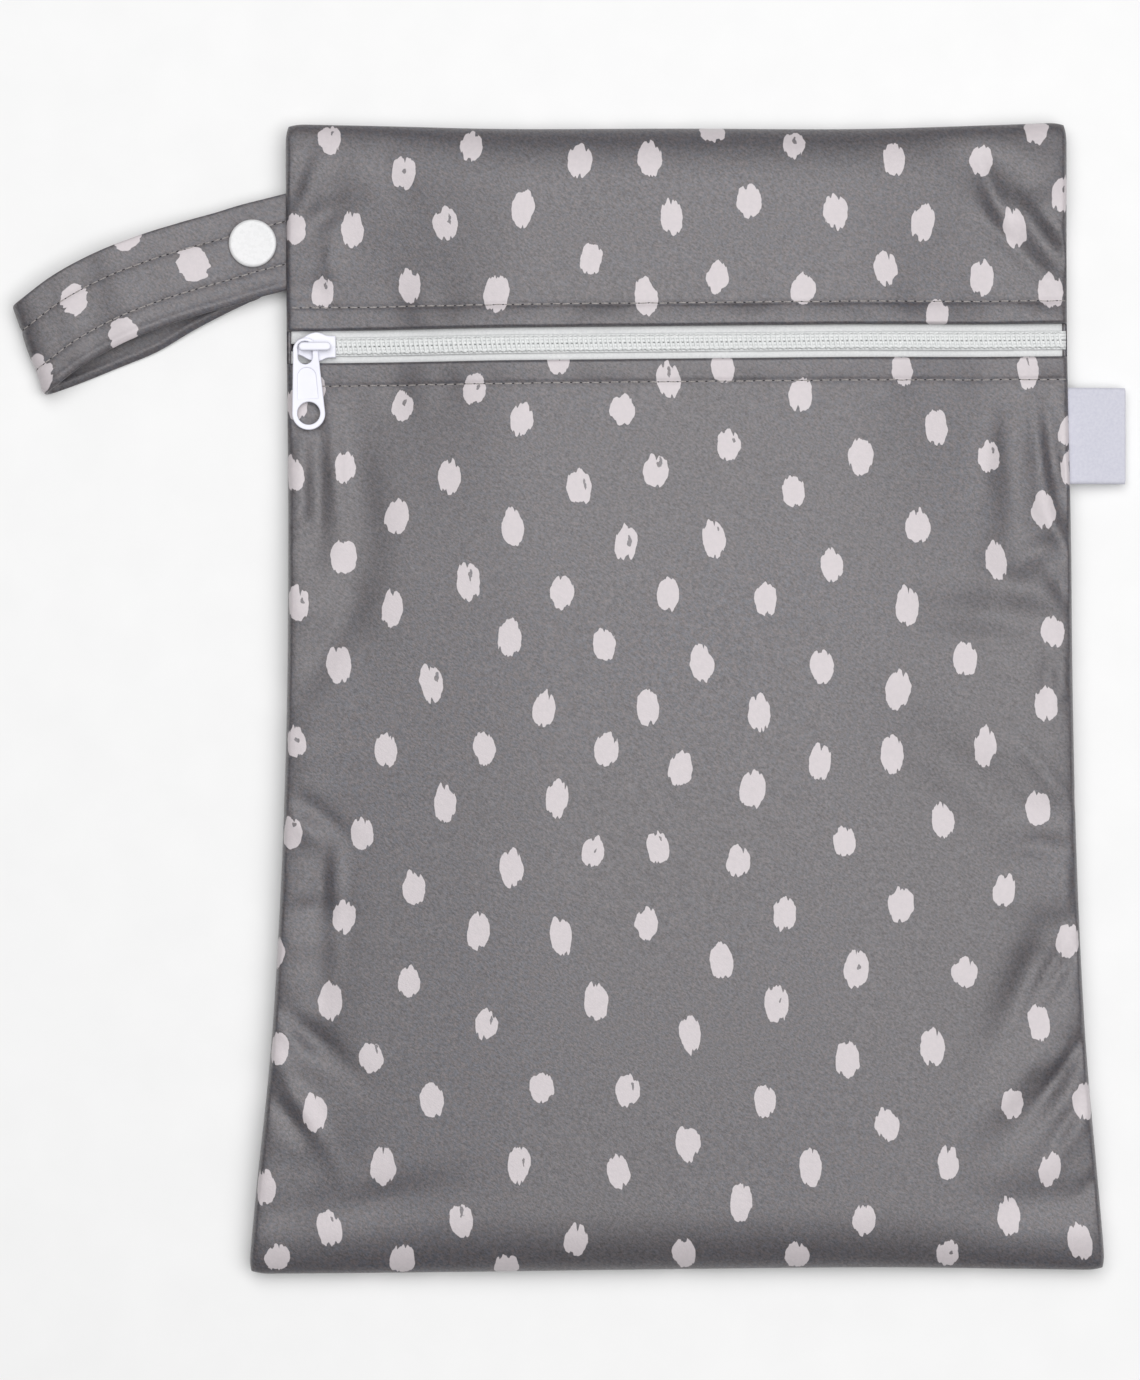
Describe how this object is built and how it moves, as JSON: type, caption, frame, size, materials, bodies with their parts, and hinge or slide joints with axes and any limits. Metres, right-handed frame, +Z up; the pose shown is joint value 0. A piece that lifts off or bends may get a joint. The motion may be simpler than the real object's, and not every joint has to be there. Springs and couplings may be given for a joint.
{
  "type": "cloth wet bag",
  "caption": "Flat zipped cloth wet bag lying on its back, with a snapped wrist strap at its side and a folded side label.",
  "frame": {"origin": "on the ground under the middle of the whole outline, strap and label included", "axes": "+Z up from the ground through the bag's back, +Y from the base seam to the top seam, +X to the side label"},
  "size_m": [0.2894, 0.299, 0.0153],
  "materials": {
    "spotted_cloth": "satin",
    "zip_tape": "matte",
    "zip_coil": "satin",
    "zip_metal": "satin",
    "snap_plastic": "gloss",
    "label_tape": "matte"
  },
  "bodies": {
    "bag": {"front_top_panel": "spotted_cloth", "front_lower_panel": "spotted_cloth", "back_panel": "spotted_cloth", "zip_tape_top": "zip_tape", "zip_tape_bottom": "zip_tape", "zip_coil_top": "zip_coil", "zip_coil_bottom": "zip_coil", "zip_slider": "zip_metal", "wrist_strap": "spotted_cloth", "snap_cap": "snap_plastic", "snap_core": "snap_plastic", "snap_back_cap": "snap_plastic", "side_label": "label_tape"},
    "pull": {"zip_pull": "zip_metal"}
  },
  "joints": [
    {"name": "pull_swivel", "type": "hinge", "parent": "bag", "child": "pull", "pos_m": [-0.0693, 0.09122, 0.0091], "axis": [0, 0, 1], "range_deg": [-175, 40]}
  ]
}
